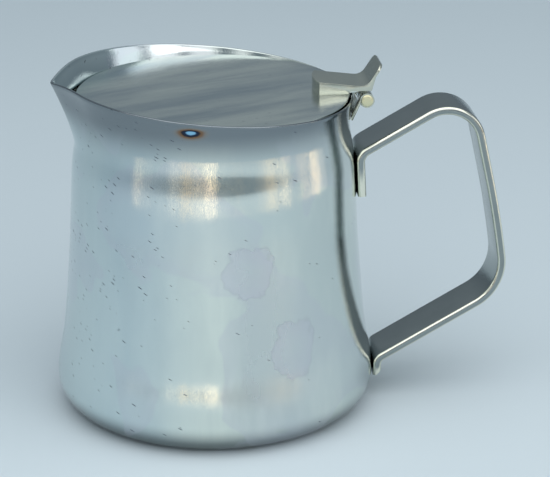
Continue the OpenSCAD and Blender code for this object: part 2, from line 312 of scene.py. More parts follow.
def vectorNode(tree, operation, *values):
    node = tree.nodes.new("ShaderNodeVectorMath")
    node.operation = operation
    for slot, value in enumerate(values):
        tree.links.new(value, node.inputs[slot])
    return node.outputs["Value" if operation == "LENGTH" else "Vector"]


def splitParts(tree, vector):
    node = tree.nodes.new("ShaderNodeSeparateXYZ")
    tree.links.new(vector, node.inputs["Vector"])
    return node.outputs


def grey(level):
    return (level, level, level)


def mixColours(tree, factor, a, b):
    node = tree.nodes.new("ShaderNodeMix")
    node.data_type = "RGBA"
    for slot, value in (("Factor", factor), ("A", a), ("B", b)):
        if isinstance(value, (int, float)):
            node.inputs[slot].default_value = value
        elif isinstance(value, tuple):
            node.inputs[slot].default_value = (*value, 1)
        else:
            tree.links.new(value, node.inputs[slot])
    return node.outputs["Result"]


nickShape = {
    "patchScale": 0.05,
    "patchFloor": 0.3,
    "patchGain": 2.5,
    "size": (0.10, 0.32),
    "sharpness": 12.0,
}


def makePittingGroup():
    # short dark nicks and pin holes, thicker where the noise says so
    group, inside, out = newGroup(
        "pitting",
        [("Vector", "NodeSocketVector", (0, 0, 0)), ("Cover", "NodeSocketFloat", 0.3)],
        [("Mask", "NodeSocketFloat")],
    )
    nicks = group.nodes.new("ShaderNodeTexVoronoi")
    nicks.inputs["Scale"].default_value = 1.0
    nicks.inputs["Randomness"].default_value = 1.0
    group.links.new(inside.outputs["Vector"], nicks.inputs["Vector"])
    patches = noise(group, inside.outputs["Vector"], nickShape["patchScale"], detail=2)
    split = group.nodes.new("ShaderNodeSeparateColor")
    group.links.new(nicks.outputs["Color"], split.inputs["Color"])
    above = mathNode(group, "SUBTRACT", patches, nickShape["patchFloor"], clamp=True)
    gathered = scaled(group, above, nickShape["patchGain"])
    chance = mathNode(group, "MULTIPLY", inside.outputs["Cover"], gathered)
    kept = mathNode(group, "LESS_THAN", split.outputs["Red"], chance)
    size = levels(group, split.outputs["Green"], *nickShape["size"])
    near = mathNode(group, "SUBTRACT", size, nicks.outputs["Distance"])
    sharp = mathNode(group, "MULTIPLY", near, nickShape["sharpness"], clamp=True)
    group.links.new(mathNode(group, "MULTIPLY", sharp, kept), out.inputs["Mask"])
    return group


grainShape = {"fineScale": 9.0, "broadScale": 1.3}


def makeGrainGroup():
    # fine parallel lines that a polishing wheel or brush leaves, as a height and a mask
    group, inside, out = newGroup(
        "polishing lines",
        [("Vector", "NodeSocketVector", (0, 0, 0)), ("Contrast", "NodeSocketFloat", 1.0)],
        [("Lines", "NodeSocketFloat"), ("Bands", "NodeSocketFloat")],
    )
    fine = noise(group, inside.outputs["Vector"], grainShape["fineScale"], detail=4, roughness=0.65)
    broad = noise(group, inside.outputs["Vector"], grainShape["broadScale"], detail=2)
    centred = mathNode(group, "SUBTRACT", fine, 0.5)
    spread = mathNode(group, "MULTIPLY", centred, inside.outputs["Contrast"])
    group.links.new(mathNode(group, "ADD", spread, 0.5, clamp=True), out.inputs["Lines"])
    group.links.new(broad, out.inputs["Bands"])
    return group


tintShape = {
    "above": 3.0,
    "below": 1.9,
    "wobbleScale": 700.0,
    "wobble": 0.35,
    "reach": 4.0,
}


def makeTintGroup():
    # the colours that heat leaves round a weld: pale blue, dark blue, straw and brown
    group, inside, out = newGroup(
        "heat tint",
        [
            ("Vector", "NodeSocketVector", (0, 0, 0)),
            ("Centre", "NodeSocketVector", (0, 0, 0)),
            ("Size", "NodeSocketFloat", 0.003),
            ("Metal", "NodeSocketColor", (0.7, 0.7, 0.7, 1)),
        ],
        [("Color", "NodeSocketColor")],
    )
    away = vectorNode(group, "SUBTRACT", inside.outputs["Vector"], inside.outputs["Centre"])
    # the colours lie close above the weld and spread wider below it
    parts = splitParts(group, away)
    above = scaled(group, mathNode(group, "MAXIMUM", parts["Z"], 0.0), tintShape["above"])
    below = scaled(group, mathNode(group, "MINIMUM", parts["Z"], 0.0), tintShape["below"])
    squeezed = group.nodes.new("ShaderNodeCombineXYZ")
    group.links.new(parts["X"], squeezed.inputs["X"])
    group.links.new(parts["Y"], squeezed.inputs["Y"])
    group.links.new(mathNode(group, "ADD", above, below), squeezed.inputs["Z"])
    length = vectorNode(group, "LENGTH", squeezed.outputs["Vector"])
    reach = mathNode(group, "DIVIDE", length, inside.outputs["Size"])
    wobble = noise(group, inside.outputs["Vector"], tintShape["wobbleScale"], detail=2)
    centred = mathNode(group, "SUBTRACT", wobble, 0.5)
    uneven = mathNode(group, "ADD", reach, scaled(group, centred, tintShape["wobble"]))
    share = mathNode(group, "DIVIDE", uneven, tintShape["reach"], clamp=True)
    colour = ramp(group, share, [
        (0.0, (0.42, 0.70, 0.86)),
        (0.20, (0.26, 0.54, 0.78)),
        (0.29, (0.010, 0.020, 0.060)),
        (0.40, (0.016, 0.014, 0.025)),
        (0.52, (0.24, 0.12, 0.05)),
        (0.76, (0.30, 0.25, 0.20)),
        (1.0, (0.34, 0.33, 0.32)),
    ])
    fade = ramp(group, share, [(0.0, grey(1)), (0.42, grey(0.9)), (1.0, grey(0))])
    tinted = mixColours(group, fade, inside.outputs["Metal"], colour)
    group.links.new(tinted, out.inputs["Color"])
    return group


markShape = {"wobbleScale": 1.7, "wobble": 1.1}


def makeWaterMarkGroup():
    # a dried drop's patch, with a soft inside and a crisp, uneven edge
    group, inside, out = newGroup(
        "water mark",
        [
            ("Vector", "NodeSocketVector", (0, 0, 0)),
            ("Centre", "NodeSocketVector", (0, 0, 0)),
            ("Stretch", "NodeSocketVector", (1, 1, 1)),
        ],
        [("Patch", "NodeSocketFloat"), ("Edge", "NodeSocketFloat")],
    )
    away = vectorNode(group, "SUBTRACT", inside.outputs["Vector"], inside.outputs["Centre"])
    drawn = vectorNode(group, "MULTIPLY", away, inside.outputs["Stretch"])
    length = vectorNode(group, "LENGTH", drawn)
    wobble = noise(group, drawn, markShape["wobbleScale"], detail=5)
    centred = mathNode(group, "SUBTRACT", wobble, 0.5)
    reach = mathNode(group, "ADD", length, scaled(group, centred, markShape["wobble"]))
    patch = ramp(group, reach, [(0.0, grey(0.3)), (0.9, grey(1)), (0.97, grey(0))], blend="LINEAR")
    edge = ramp(group, reach, [(0.84, grey(0)), (0.93, grey(1)), (1.0, grey(0))], blend="LINEAR")
    group.links.new(patch, out.inputs["Patch"])
    group.links.new(edge, out.inputs["Edge"])
    return group


pitting = makePittingGroup()
waterMark = makeWaterMarkGroup()
polishingLines = makeGrainGroup()
heatTint = makeTintGroup()


def placeGroup(tree, group, links, values=None):
    node = tree.nodes.new("ShaderNodeGroup")
    node.node_tree = group
    for label, source in links.items():
        tree.links.new(source, node.inputs[label])
    for label, value in (values or {}).items():
        node.inputs[label].default_value = value
    return node


def newMetal(name):
    material = bpy.data.materials.new(name)
    material.use_nodes = True
    tree = material.node_tree
    shader = tree.nodes["Principled BSDF"]
    shader.inputs["Metallic"].default_value = 1.0
    coords = tree.nodes.new("ShaderNodeTexCoord")
    return material, tree, shader, coords


def bandMask(tree, value, band):
    # 0 below the band, 1 above it, eased between
    node = tree.nodes.new("ShaderNodeMapRange")
    node.interpolation_type = "SMOOTHSTEP"
    node.inputs["From Min"].default_value = band[0]
    node.inputs["From Max"].default_value = band[1]
    tree.links.new(value, node.inputs["Value"])
    return node.outputs["Result"]


def bumpFrom(tree, shader, height, strength, distance):
    bump = tree.nodes.new("ShaderNodeBump")
    bump.inputs["Strength"].default_value = strength
    bump.inputs["Distance"].default_value = distance
    tree.links.new(height, bump.inputs["Height"])
    tree.links.new(bump.outputs["Normal"], shader.inputs["Normal"])


bodySteel = {
    "colour": (0.86, 0.89, 0.80),
    "worn": (0.62, 0.68, 0.66),
    # painted dark reflection: the colour of the band round the neck
    "paintedNeckReflection": (0.23, 0.26, 0.28),
    # painted shade on the foot; the same colour also draws the water marks' rims
    "paintedFootShadeAndMarkRim": (0.15, 0.18, 0.19),
    # painted reflection: the blue cast on the sides of the spout
    "paintedBlueReflection": (0.52, 0.64, 0.70),
    "stainColour": (0.60, 0.60, 0.68),
    "nickColour": (0.12, 0.14, 0.17),
    "outsideTop": 1.5,
    "spoutSide": (0.78, 1.14),
    "paintedBlueReflectionShare": 0.65,
    "paintedReflectionBand": (0.975, 1.13),
    "paintedFootShadeBand": (0.04, 0.12),
    "paintedFootShadeShare": 0.8,
    "lineField": (60.0, 1.6, 1.0),
    "lineContrast": 1.2,
    "lineHeight": 0.25,
    "bandShare": 0.3,
    "cloudField": (26.0, 26.0, 9.0),
    "nickField": (30.0, 130.0, 1.0),
    "nickSlant": math.radians(-24),
    "nickCover": (0.04, 0.42),
    "nickShare": 0.75,
    "nickRough": 0.3,
    "blotScale": 24.0,
    "stainShare": 0.3,
    "stainPatch": 0.4,
    "stainRough": 0.06,
    "waterMarks": [
        ((-0.707, 0.65, 0), (10.5, 11.0, 1)),
        ((-0.555, 0.36, 0), (11.5, 9.5, 1)),
        ((0.62, 0.52, 0), (9.0, 10.0, 1)),
    ],
    "markShare": 0.42,
    "markRim": 0.10,
    "tintPlace": (-0.0112, -0.0482, 0.1137),
    "tintSize": 0.0018,
    "smooth": 0.03,
    "hazy": 0.30,
    "hazeTop": (0.70, 0.83),
    "hazeSpan": (0.1, 0.9),
    "clearSide": (0.012, 0.046),
    "clearShare": 0.85,
    "waveScale": 30.0,
    "bump": (0.10, 0.0006),
}


def makeBodySteel():
    steel = bodySteel
    material, tree, shader, coords = newMetal("polished jug steel")
    around = coords.outputs["UV"]
    place = coords.outputs["Object"]
    split = splitParts(tree, around)
    height = split["Y"]
    outside = mathNode(tree, "LESS_THAN", height, steel["outsideTop"])
    lineField = stretched(tree, around, steel["lineField"])
    lines = placeGroup(tree, polishingLines, {"Vector": lineField}, {"Contrast": steel["lineContrast"]})
    # the nicks are thickest on both sides of the spout
    spoutSide = bandMask(tree, mathNode(tree, "ABSOLUTE", split["X"]), steel["spoutSide"])
    nickCover = levels(tree, spoutSide, *steel["nickCover"])
    nickField = stretched(tree, turned(tree, around, steel["nickSlant"]), steel["nickField"])
    nicks = placeGroup(tree, pitting, {"Vector": nickField, "Cover": nickCover})
    nickMask = nicks.outputs["Mask"]
    blot = noise(tree, place, steel["blotScale"], detail=3, roughness=0.45, distortion=0.5)
    stains = ramp(tree, blot, [
        (0.0, grey(0)), (0.515, grey(0)), (0.53, grey(1)), (0.62, grey(0.45)),
    ], blend="LINEAR")
    # clouds of wear, drawn out up the wall
    drawn = stretched(tree, place, steel["cloudField"])
    wearAndEdgeHighlight = noise(tree, drawn, 1.0, detail=5, roughness=0.55)
    cloud = ramp(tree, wearAndEdgeHighlight, [(0.34, grey(0)), (0.64, grey(1))])
    # the sides of the spout get a painted blue reflection, the neck a painted dark reflected band, and the
    # foot painted shade
    plain = mixColours(tree, cloud, steel["colour"], steel["worn"])
    # painted reflection: a blue backdrop's colour mixed into the steel beside the spout
    metal = mixColours(tree, scaled(tree, spoutSide, steel["paintedBlueReflectionShare"]), plain, steel["paintedBlueReflection"])
    paintedReflectionMask = mathNode(tree, "MULTIPLY", bandMask(tree, height, steel["paintedReflectionBand"]), outside)
    # painted shade: the foot is darkened where it mirrors the floor in its own shadow
    paintedFootShadeMask = inverse(tree, bandMask(tree, height, steel["paintedFootShadeBand"]))
    bands = scaled(tree, lines.outputs["Bands"], steel["bandShare"])
    banded = mixColours(tree, bands, metal, steel["worn"])
    # painted reflection: the neck band is darkened to stand for the shaded cloth it mirrors
    withPaintedReflection = mixColours(tree, paintedReflectionMask, banded, steel["paintedNeckReflection"])
    withPaintedFootShade = mixColours(tree, scaled(tree, paintedFootShadeMask, steel["paintedFootShadeShare"]), withPaintedReflection, steel["paintedFootShadeAndMarkRim"])
    # dried stains, and three larger water marks with a rim
    lowStains = mathNode(tree, "MULTIPLY", stains, inverse(tree, paintedReflectionMask))
    stained = mixColours(tree, scaled(tree, lowStains, steel["stainShare"]), withPaintedFootShade, steel["stainColour"])
    patches = scaled(tree, lowStains, steel["stainPatch"])
    for centre, stretch in steel["waterMarks"]:
        mark = placeGroup(tree, waterMark, {"Vector": around}, {"Centre": centre, "Stretch": stretch})
        patches = mathNode(tree, "MAXIMUM", patches, mark.outputs["Patch"])
        faint = scaled(tree, mark.outputs["Patch"], steel["markShare"])
        stained = mixColours(tree, faint, stained, steel["stainColour"])
        rim = scaled(tree, mark.outputs["Edge"], steel["markRim"])
        stained = mixColours(tree, rim, stained, steel["paintedFootShadeAndMarkRim"])
    nicked = mixColours(tree, scaled(tree, nickMask, steel["nickShare"]), stained, steel["nickColour"])
    tint = placeGroup(
        tree, heatTint,
        {"Vector": place, "Metal": nicked},
        {"Centre": steel["tintPlace"], "Size": steel["tintSize"]},
    )
    tree.links.new(tint.outputs["Color"], shader.inputs["Base Color"])
    # a clear mirror above and next to the handle, with a haze of wear elsewhere
    handleSide = bandMask(tree, splitParts(tree, place)["X"], steel["clearSide"])
    clear = scaled(tree, handleSide, steel["clearShare"])
    low = inverse(tree, bandMask(tree, height, steel["hazeTop"]))
    worn = mathNode(tree, "MULTIPLY", low, inverse(tree, clear))
    haze = mathNode(tree, "MULTIPLY", levels(tree, cloud, *steel["hazeSpan"]), worn)
    rough = levels(tree, haze, steel["smooth"], steel["hazy"])
    stainRough = mathNode(tree, "ADD", rough, scaled(tree, patches, steel["stainRough"]))
    nickRough = mathNode(tree, "ADD", stainRough, scaled(tree, nickMask, steel["nickRough"]))
    tree.links.new(nickRough, shader.inputs["Roughness"])
    wave = noise(tree, place, steel["waveScale"], detail=1)
    relief = mathNode(tree, "ADD", scaled(tree, lines.outputs["Lines"], steel["lineHeight"]), wave)
    bumpFrom(tree, shader, relief, *steel["bump"])
    return material


lidSteel = {
    "colour": (0.88, 0.91, 0.82),
    "worn": (0.47, 0.54, 0.56),
    "lineColour": (0.42, 0.45, 0.48),
    "nickColour": (0.2, 0.21, 0.22),
    "lineField": (30.0, 700.0, 60.0),
    "lineContrast": 1.6,
    "lineShare": 0.35,
    "slant": math.radians(24),
    "streakSize": (0.095, 0.017, 0.05),
    "nickField": (420.0, 1100.0, 300.0),
    "nickCover": 0.12,
    "nickShare": 0.5,
    "smooth": 0.08,
    "dull": 0.20,
    "bump": (0.12, 0.0001),
}


def makeLidSteel():
    steel = lidSteel
    material, tree, shader, coords = newMetal("satin lid steel")
    place = coords.outputs["Object"]
    lineField = stretched(tree, place, steel["lineField"])
    lines = placeGroup(tree, polishingLines, {"Vector": lineField}, {"Contrast": steel["lineContrast"]})
    # soft streaks that run slantwise over the disc
    slanted = turned(tree, place, steel["slant"], steel["streakSize"])
    cloud = noise(tree, slanted, 1.0, detail=6, roughness=0.58, distortion=0.2)
    streaks = ramp(tree, cloud, [(0.38, grey(0)), (0.60, grey(1))], blend="LINEAR")
    metal = mixColours(tree, streaks, steel["colour"], steel["worn"])
    brushed = scaled(tree, lines.outputs["Lines"], steel["lineShare"])
    streaked = mixColours(tree, brushed, metal, steel["lineColour"])
    nickField = stretched(tree, place, steel["nickField"])
    nicks = placeGroup(tree, pitting, {"Vector": nickField}, {"Cover": steel["nickCover"]})
    spotted = mixColours(
        tree, scaled(tree, nicks.outputs["Mask"], steel["nickShare"]), streaked, steel["nickColour"],
    )
    tree.links.new(spotted, shader.inputs["Base Color"])
    tree.links.new(levels(tree, cloud, steel["smooth"], steel["dull"]), shader.inputs["Roughness"])
    bumpFrom(tree, shader, lines.outputs["Lines"], *steel["bump"])
    return material


barLines = {"field": (40.0, 800.0, 40.0), "contrast": 1.3, "cloudScale": 55.0, "bump": (0.15, 0.0001)}
strapSteel = {
    # painted dark reflection: the strap's steel is coloured much darker than the body's
    "colour": (0.38, 0.41, 0.40),
    "worn": (0.24, 0.27, 0.27),
    "paintedEdgeHighlight": (0.90, 0.88, 0.74),
    "highlightBand": (0.15, 0.65),
    "highlightShare": 0.9,
    "smooth": 0.07,
    "dull": 0.20,
}
leafSteel = {
    "colour": (0.66, 0.66, 0.56),
    "worn": (0.48, 0.49, 0.42),
    "smooth": 0.08,
    "dull": 0.20,
}


def makeBarSteel(name, finish):
    material, tree, shader, coords = newMetal(name)
    place = coords.outputs["Object"]
    lineField = stretched(tree, place, barLines["field"])
    lines = placeGroup(tree, polishingLines, {"Vector": lineField}, {"Contrast": barLines["contrast"]})
    cloud = noise(tree, place, barLines["cloudScale"], detail=4, roughness=0.6)
    metal = mixColours(tree, cloud, finish["colour"], finish["worn"])
    if "paintedEdgeHighlight" in finish:
        # painted highlight: the rounded edges are coloured cream where they would catch the light
        highlightAttribute = tree.nodes.new("ShaderNodeAttribute")
        highlightAttribute.attribute_name = "edgeHighlightMask"
        edges = bandMask(tree, highlightAttribute.outputs["Fac"], finish["highlightBand"])
        metal = mixColours(tree, scaled(tree, edges, finish["highlightShare"]), metal, finish["paintedEdgeHighlight"])
    tree.links.new(metal, shader.inputs["Base Color"])
    tree.links.new(levels(tree, cloud, finish["smooth"], finish["dull"]), shader.inputs["Roughness"])
    bumpFrom(tree, shader, lines.outputs["Lines"], *barLines["bump"])
    return material


pinSteel = {
    "colour": (0.80, 0.76, 0.50),
    "worn": (0.68, 0.64, 0.44),
    "wearScale": 900.0,
    "smooth": 0.22,
    "dull": 0.4,
    "bump": (0.1, 0.0001),
}


def makePinMetal():
    material, tree, shader, coords = newMetal("pin metal")
    worn = noise(tree, coords.outputs["Object"], pinSteel["wearScale"], detail=3)
    metal = mixColours(tree, worn, pinSteel["colour"], pinSteel["worn"])
    tree.links.new(metal, shader.inputs["Base Color"])
    tree.links.new(levels(tree, worn, pinSteel["smooth"], pinSteel["dull"]), shader.inputs["Roughness"])
    bumpFrom(tree, shader, worn, *pinSteel["bump"])
    return material


polishedSteel = makeBodySteel()
satinSteel = makeLidSteel()
barSteel = makeBarSteel("strap steel", strapSteel)
smallSteel = makeBarSteel("polished leaf steel", leafSteel)
pinMetal = makePinMetal()
print("metals ready")


# the body: one skin from the middle of the floor, up the wall, over the rim and down inside

def bodyProfile(a):
    foot = jug["footRound"]
    footX = jug["baseRadius"] - foot
    top = rimHeight(a)
    half = levelThickness(top, a) / 2
    points = []
    for i in range(jug["footRows"] + 1):
        t = math.pi / 2 * i / jug["footRows"]
        points.append((footX + foot * math.sin(t), foot - foot * math.cos(t)))
    rise = [foot + (top - half - foot) * i / jug["wallRows"] for i in range(1, jug["wallRows"] + 1)]
    points += [(skinRadius(z, a), z) for z in rise]
    middle = skinRadius(top - half, a) - half
    for i in range(1, jug["rimRows"]):
        t = math.pi * i / jug["rimRows"]
        points.append((middle + half * math.cos(t), top - half + half * math.sin(t)))
    points += [(skinRadius(z, a) - levelThickness(z, a), z) for z in reversed(rise)]
    inner = foot - jug["wall"]
    for i in range(jug["footRows"], -1, -1):
        t = math.pi / 2 * i / jug["footRows"]
        points.append((footX + inner * math.sin(t), foot - inner * math.cos(t)))
    return points


def columnAngle(i):
    t = 2 * math.pi * i / jug["columns"]
    return t + jug["crowding"] * math.sin(t)


wrapScale = {"around": 0.5, "up": 10, "insideShift": 2, "floorFacing": 0.9}


def makeBody():
    columns = jug["columns"]
    profiles = [bodyProfile(columnAngle(i)) for i in range(columns)]
    rows = len(profiles[0])
    rings = []
    for row in range(rows):
        ring = []
        for i in range(columns):
            radius, z = profiles[i][row]
            a = columnAngle(i)
            ring.append((radius * math.cos(a), radius * math.sin(a), z))
        rings.append(ring)
    mesh = ringMesh("jugBody", rings)
    work = bmesh.new()
    work.from_mesh(mesh)
    for first, height in ((0, 0.0), ((rows - 1) * columns, jug["wall"])):
        middle = work.verts.new((0, 0, height))
        work.verts.ensure_lookup_table()
        for i in range(columns):
            work.faces.new((middle, work.verts[first + i], work.verts[first + (i + 1) % columns]))
    bmesh.ops.recalc_face_normals(work, faces=work.faces)
    # round the jug and up it, with the inside laid out two units above the outside
    wrap = work.loops.layers.uv.new("wrap")
    for face in work.faces:
        middle = face.calc_center_median()
        inward = face.normal.x * middle.x + face.normal.y * middle.y < 0
        inside = inward or (face.normal.z > wrapScale["floorFacing"] and middle.z < jug["footRound"])
        shift = wrapScale["insideShift"] if inside else 0
        angles = [math.atan2(loop.vert.co.y, loop.vert.co.x) for loop in face.loops]
        widest = max(angles)
        for loop, a in zip(face.loops, angles):
            turn = a + 2 * math.pi if widest - a > math.pi else a
            loop[wrap].uv = (turn * wrapScale["around"], loop.vert.co.z * wrapScale["up"] + shift)
    work.to_mesh(mesh)
    work.free()
    return addPiece("jugBody", mesh, polishedSteel)


body = makeBody()
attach(body, "jug")
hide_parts("body_shell")
print("body made")


# bent strips: a tree that rounds a line's corners and sweeps a flat section along it

stripSteps = {"bend": 28, "edge": 6, "mergeDistance": 1e-7, "sharpAngle": math.radians(50)}


def makeStripTree():
    tree = bpy.data.node_groups.new("bent strip", "GeometryNodeTree")
    face = tree.interface
    face.new_socket(name="Line", in_out="INPUT", socket_type="NodeSocketGeometry")
    for label in ("Width", "Thickness", "Edge"):
        face.new_socket(name=label, in_out="INPUT", socket_type="NodeSocketFloat")
    face.new_socket(name="Metal", in_out="INPUT", socket_type="NodeSocketMaterial")
    face.new_socket(name="Strip", in_out="OUTPUT", socket_type="NodeSocketGeometry")
    add = tree.nodes.new
    link = tree.links.new
    inside = add("NodeGroupInput")
    out = add("NodeGroupOutput")
    toCurve = add("GeometryNodeMeshToCurve")
    corners = add("GeometryNodeFilletCurve")
    corners.mode = "POLY"
    corners.inputs["Count"].default_value = stripSteps["bend"]
    corners.inputs["Limit Radius"].default_value = True
    bend = add("GeometryNodeInputNamedAttribute")
    bend.data_type = "FLOAT"
    bend.inputs["Name"].default_value = "bend"
    across = add("GeometryNodeSetCurveNormal")
    across.mode = "FREE"
    across.inputs["Normal"].default_value = (0, 1, 0)
    section = add("GeometryNodeCurvePrimitiveQuadrilateral")
    edges = add("GeometryNodeFilletCurve")
    edges.mode = "POLY"
    edges.inputs["Count"].default_value = stripSteps["edge"]
    edges.inputs["Limit Radius"].default_value = True
    sweep = add("GeometryNodeCurveToMesh")
    sweep.inputs["Fill Caps"].default_value = True
    realize = add("GeometryNodeRealizeInstances")
    coat = add("GeometryNodeSetMaterial")
    link(inside.outputs["Line"], toCurve.inputs["Mesh"])
    link(toCurve.outputs["Curve"], corners.inputs["Curve"])
    link(bend.outputs["Attribute"], corners.inputs["Radius"])
    link(corners.outputs["Curve"], across.inputs["Curve"])
    link(inside.outputs["Width"], section.inputs["Width"])
    link(inside.outputs["Thickness"], section.inputs["Height"])
    link(section.outputs["Curve"], edges.inputs["Curve"])
    link(inside.outputs["Edge"], edges.inputs["Radius"])
    link(across.outputs["Curve"], sweep.inputs["Curve"])
    link(edges.outputs["Curve"], sweep.inputs["Profile Curve"])
    link(sweep.outputs["Mesh"], realize.inputs["Geometry"])
    link(realize.outputs["Geometry"], coat.inputs["Geometry"])
    link(inside.outputs["Metal"], coat.inputs["Material"])
    link(coat.outputs["Geometry"], out.inputs["Strip"])
    return tree


stripTree = makeStripTree()


def makeStrip(name, line, bends, width, thickness, edge, metal):
    # line holds (x, z) corners in the plane of the handle, bends the radius at each corner
    mesh = bpy.data.meshes.new(name)
    spans = [(i, i + 1) for i in range(len(line) - 1)]
    mesh.from_pydata([(x, 0, z) for x, z in line], spans, [])
    radii = mesh.attributes.new("bend", "FLOAT", "POINT")
    radii.data.foreach_set("value", bends)
    piece = bpy.data.objects.new(name, mesh)
    bpy.context.scene.collection.objects.link(piece)
    sweep = piece.modifiers.new("sweep", "NODES")
    sweep.node_group = stripTree
    values = {"Width": width, "Thickness": thickness, "Edge": edge, "Metal": metal}
    for item in stripTree.interface.items_tree:
        if item.in_out == "INPUT" and item.name in values:
            sweep[item.identifier] = values[item.name]
    bakePiece(piece)
    work = bmesh.new()
    work.from_mesh(piece.data)
    bmesh.ops.remove_doubles(work, verts=work.verts, dist=stripSteps["mergeDistance"])
    bmesh.ops.recalc_face_normals(work, faces=work.faces)
    work.to_mesh(piece.data)
    work.free()
    piece.data.shade_smooth()
    piece.data.set_sharp_from_angle(angle=stripSteps["sharpAngle"])
    return piece


def markEdges(piece):
    # the mask for the painted edge highlight: 1 where the surface leans half way between a broad face and a
    # narrow one, 0 on both
    wearAndEdgeHighlight = piece.data.attributes.new("edgeHighlightMask", "FLOAT", "POINT")
    lean = [vert.normal.y ** 2 for vert in piece.data.vertices]
    wearAndEdgeHighlight.data.foreach_set("value", [1 - abs(2 * n - 1) for n in lean])


strap = {
    "width": 0.019,
    "thickness": 0.003,
    "edge": 0.0012,
    "weldBite": 0.00015,
    "legLength": 0.015,
    "legSeat": 2 / 3,
    "seatSpan": 0.002,
    "legDrop": 0.0129,
    "topReach": 0.0329,
    "topRise": 0.009,
    "gripReach": 0.0428,
    "gripZ": 0.0687,
    "lowReach": 0.0469,
    "lowZ": 0.0402,
    "tabRise": 0.0032,
    "tabLength": 0.006,
    "tabBevel": 0.002,
    "bends": [0, 0.0045, 0.0125, 0.36, 0.0175, 0.0035, 0],
}


def strapLine():
    out = strap["thickness"] / 2 - strap["weldBite"]
    legZ = neckZ - strap["legDrop"]
    # the leg lies along the wall, touching it two thirds of the way down
    midZ = legZ - strap["legLength"] * strap["legSeat"]
    span = strap["seatSpan"]
    slope = (wallRadius(midZ + span) - wallRadius(midZ - span)) / (2 * span)
    legX = wallRadius(midZ) + out
    low = legZ - strap["legLength"]
    base = jug["baseRadius"]
    tabZ = jug["footRound"] + strap["tabRise"]
    return [
        (legX + slope * (low - midZ), low),
        (legX + slope * (legZ - midZ), legZ),
        (base + strap["topReach"], neckZ + strap["topRise"]),
        (base + strap["gripReach"], strap["gripZ"]),
        (base + strap["lowReach"], strap["lowZ"]),
        (base + out, tabZ),
        (base + out, tabZ - strap["tabLength"]),
    ]


def makeHandle():
    line = strapLine()
    piece = makeStrip(
        "handleStrap", line, strap["bends"],
        strap["width"], strap["thickness"], strap["edge"], barSteel,
    )
    # the tab's end is bevelled towards the wall
    tabX, tabEnd = line[-1]
    outer = tabX + strap["thickness"] / 2
    for vert in piece.data.vertices:
        if vert.co.z < tabEnd + 1e-5 and vert.co.x > outer - strap["tabBevel"]:
            vert.co.z += vert.co.x - (outer - strap["tabBevel"])
    markEdges(piece)
    return piece


handle = makeHandle()
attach(handle, "jug")
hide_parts("handle_strap")
print("handle made")


# the lid: a flat disc with a tongue rolled round the pin

lid = {
    "edgeRound": 0.0003,
    "edgeSteps": 6,
    "columns": 288,
    "rings": 10,
    "restGap": 0.0002,
    "knuckleWidth": 0.0074,
    "knuckleTurn": 298,
    "knuckleSteps": 40,
    "tongueEdge": 0.0002,
}
lidLow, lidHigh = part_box("lid_plate")
lidRadius = -lidLow.x
lidTop = lidHigh.z
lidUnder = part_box("lid_rest_front")[1].z + lid["restGap"]
lidSheet = lidTop - lidUnder


def makeLid():
    r = lid["edgeRound"]
    profile = [(0.0, lidUnder)]
    profile += [(lidRadius * k / lid["rings"], lidUnder) for k in range(1, lid["rings"])]
    for start, z in ((-math.pi / 2, lidUnder + r), (0.0, lidTop - r)):
        for i in range(lid["edgeSteps"] + 1):
            t = start + math.pi / 2 * i / lid["edgeSteps"]
            profile.append((lidRadius - r + r * math.cos(t), z + r * math.sin(t)))
    profile += [(lidRadius * k / lid["rings"], lidTop) for k in range(lid["rings"] - 1, 0, -1)]
    profile.append((0.0, lidTop))
    mesh = spunMesh("lidDisc", profile, lid["columns"])
    return addPiece("lidDisc", mesh, satinSteel)


def rolledPath(fromX, topZ, radius):
    # straight to over the pin, then clockwise round it at the sheet's middle
    path = [(fromX, topZ), (pinX - radius, topZ)]
    for i in range(lid["knuckleSteps"] + 1):
        a = math.radians(90 - lid["knuckleTurn"] * i / lid["knuckleSteps"])
        path.append((pinX + radius * math.cos(a), pinZ + radius * math.sin(a)))
    return path


def makeTongue():
    middle = (lidTop + lidUnder) / 2
    width = lid["knuckleWidth"]
    path = rolledPath(lidRadius - width, middle, middle - pinZ)
    return makeStrip("lidTongue", path, [0] * len(path), width, lidSheet, lid["tongueEdge"], satinSteel)


lidDisc = makeLid()
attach(lidDisc, "lid")
tongue = makeTongue()
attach(tongue, "lid")
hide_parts("lid_plate")
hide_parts("lid_plate")
print("lid made")


# the lever, the leaf and the rests: the CAD's shapes with soft edges, and a rounder lever

thumb = {
    "cornerRound": 0.0026,
    "steps": 6,
    "edge": 0.00036,
    "tipDepth": 0.0007,
    "bluntEnd": 0.0025,
    "bluntReach": 0.0015,
}
leafEdge = {"width": 0.00015, "segments": 2, "angle": 50}
restEdge = {"width": 0.0003}


